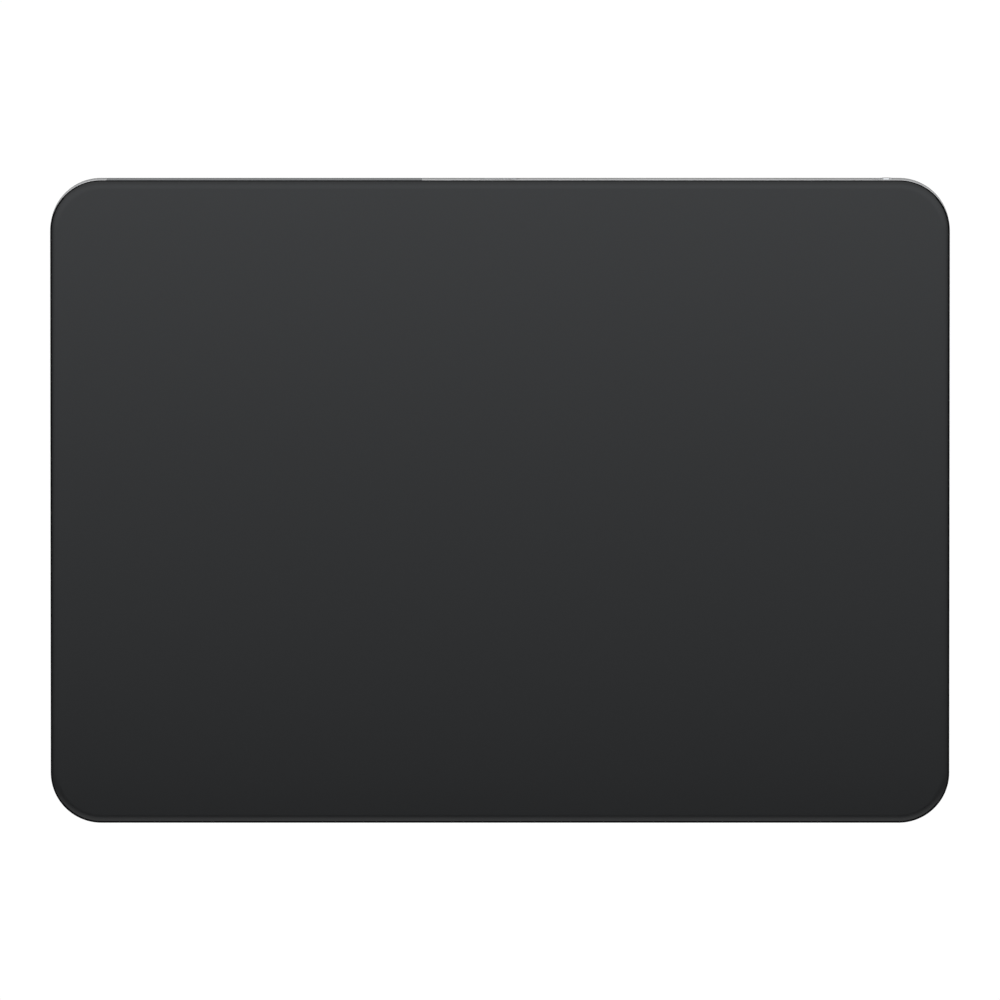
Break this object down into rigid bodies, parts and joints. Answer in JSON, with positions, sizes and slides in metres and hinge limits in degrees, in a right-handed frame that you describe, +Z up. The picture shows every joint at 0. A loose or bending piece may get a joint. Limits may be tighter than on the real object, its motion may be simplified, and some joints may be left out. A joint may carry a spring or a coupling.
{
  "type": "trackpad",
  "caption": "Flat wedge-shaped wireless trackpad with a black glass touch surface on a silver case, rubber feet, rear charging port, antenna window and slide switch.",
  "frame": {"origin": "on the desk, under the middle of the case", "axes": "+X to the user's right, +Y to the rear edge with the port, +Z up from the desk"},
  "size_m": [0.16, 0.1151, 0.0108],
  "materials": {
    "anodised_aluminium": "fine bead-blasted, anodised silver",
    "antenna_plastic": "smooth matte grey",
    "black_touch_glass": "etched matte, black behind",
    "black_adhesive": "soft black foam tape",
    "sensor_laminate": "solder mask, dark",
    "stiffener_aluminium": "mill finish",
    "grey_foam": "open-cell foam",
    "flex_circuit": "polyimide film, satin",
    "circuit_board": "green solder mask",
    "chip_plastic": "moulded black",
    "shield_steel": "tinned sheet",
    "connector_plastic": "moulded ivory",
    "screw_steel": "nickel plated",
    "copper_foil": "bare copper foil",
    "port_steel": "drawn steel, satin",
    "port_plastic": "moulded black",
    "gold_contact": "gold plated",
    "battery_foil": "black laminated foil",
    "white_tape": "white tape",
    "frame_steel": "stamped sheet",
    "spring_steel": "rolled, bright",
    "copper_wire": "enamelled wire",
    "carriage_metal": "sintered heavy alloy",
    "magnet_nickel": "nickel plated",
    "knob_aluminium": "anodised silver",
    "shutter_plastic": "matte grey",
    "flag_green": "printed green",
    "foot_rubber": "matte grey elastomer",
    "gauge_film": "polyimide film"
  },
  "bodies": {
    "base": {"lower_case": "anodised_aluminium", "antenna_window": "antenna_plastic", "touch_glass": "black_touch_glass", "glass_adhesive": "black_adhesive", "touch_sensor_board": "sensor_laminate", "stiffener_plate": "stiffener_aluminium", "foam_supports": "grey_foam", "sensor_flex": "flex_circuit", "logic_board": "circuit_board", "board_chips": "chip_plastic", "radio_shield": "shield_steel", "board_connectors": "connector_plastic", "board_screws": "screw_steel", "antenna_carrier": "connector_plastic", "antenna_element": "copper_foil", "charge_port_shell": "port_steel", "charge_port_insulator": "port_plastic", "charge_port_contacts": "gold_contact", "port_bracket": "frame_steel", "port_screws": "screw_steel", "battery_cells": "battery_foil", "battery_tape": "white_tape", "battery_guard_boards": "circuit_board", "battery_leads": "flex_circuit", "haptic_frame": "frame_steel", "haptic_coils": "copper_wire", "haptic_springs": "spring_steel", "haptic_screws": "screw_steel", "haptic_flex": "flex_circuit", "switch_housing": "shield_steel", "force_flex": "flex_circuit", "strain_gauges": "gauge_film", "flexure_screws": "screw_steel", "force_flexure_front_left": "spring_steel", "force_flexure_front_right": "spring_steel", "force_flexure_rear_left": "spring_steel", "force_flexure_rear_right": "spring_steel"},
    "haptic_mass": {"haptic_carriage": "carriage_metal", "haptic_magnets": "magnet_nickel"},
    "power_switch": {"switch_knob": "knob_aluminium", "switch_shutter": "shutter_plastic", "switch_on_flag": "flag_green"},
    "foot_front_left": {"foot_pad_front_left": "foot_rubber", "foot_stud_front_left": "screw_steel"},
    "foot_front_right": {"foot_pad_front_right": "foot_rubber", "foot_stud_front_right": "screw_steel"},
    "foot_rear_left": {"foot_pad_rear_left": "foot_rubber", "foot_stud_rear_left": "screw_steel"},
    "foot_rear_right": {"foot_pad_rear_right": "foot_rubber", "foot_stud_rear_right": "screw_steel"}
  },
  "joints": [
    {"name": "switch_slide", "type": "slide", "parent": "base", "child": "power_switch", "axis": [1, 0, 0], "range_m": [-0.00205, 0]},
    {"name": "haptic_shake", "type": "slide", "parent": "base", "child": "haptic_mass", "axis": [1, 0, 0], "range_m": [-0.0005, 0.0005], "stiffness_N_per_m": 8000, "deforming": ["haptic_springs"]},
    {"name": "foot_press_front_left", "type": "slide", "parent": "base", "child": "foot_front_left", "axis": [0, 0, 1], "range_m": [0, 0.0001], "stiffness_N_per_m": 60000, "deforming": ["force_flexure_front_left"]},
    {"name": "foot_press_front_right", "type": "slide", "parent": "base", "child": "foot_front_right", "axis": [0, 0, 1], "range_m": [0, 0.0001], "stiffness_N_per_m": 60000, "deforming": ["force_flexure_front_right"]},
    {"name": "foot_press_rear_left", "type": "slide", "parent": "base", "child": "foot_rear_left", "axis": [0, 0, 1], "range_m": [0, 0.0001], "stiffness_N_per_m": 60000, "deforming": ["force_flexure_rear_left"]},
    {"name": "foot_press_rear_right", "type": "slide", "parent": "base", "child": "foot_rear_right", "axis": [0, 0, 1], "range_m": [0, 0.0001], "stiffness_N_per_m": 60000, "deforming": ["force_flexure_rear_right"]}
  ]
}
